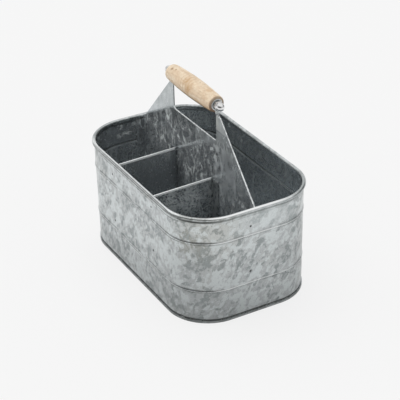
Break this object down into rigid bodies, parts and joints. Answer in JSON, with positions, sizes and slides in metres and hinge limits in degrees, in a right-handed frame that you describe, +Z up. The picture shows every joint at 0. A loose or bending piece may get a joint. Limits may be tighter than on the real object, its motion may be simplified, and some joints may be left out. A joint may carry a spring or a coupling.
{
  "type": "storage box with handle",
  "caption": "Oblong sheet-steel tub with rolled rim, lengthwise divider, cross dividers and a raised wooden carrying grip.",
  "frame": {"origin": "middle of the footprint, on the surface that the box stands on", "axes": "+X along the box's long side, +Y towards the side of the single long compartment, +Z up"},
  "size_m": [0.28, 0.178, 0.2407],
  "materials": {
    "galvanised_sheet": "galvanised, mottled satin",
    "dark_zinc_sheet": "aged zinc, dark satin",
    "wire_steel": "plain drawn steel",
    "pale_beech": "smooth, lightly oiled",
    "bright_plating": "bright plated"
  },
  "bodies": {
    "box": {"tub_wall": "galvanised_sheet", "rim_wire": "wire_steel", "base_pan": "galvanised_sheet", "centre_divider": "dark_zinc_sheet", "cross_divider_rear": "dark_zinc_sheet", "cross_divider_front": "dark_zinc_sheet", "handle_rod": "wire_steel", "cap_nut_front": "bright_plating", "cap_nut_rear": "bright_plating"},
    "grip": {"handle_grip": "pale_beech"}
  },
  "joints": [
    {"name": "grip_spin", "type": "hinge", "parent": "box", "child": "grip", "pos_m": [0, 0, 0.2287], "axis": [1, 0, 0], "continuous": true}
  ]
}
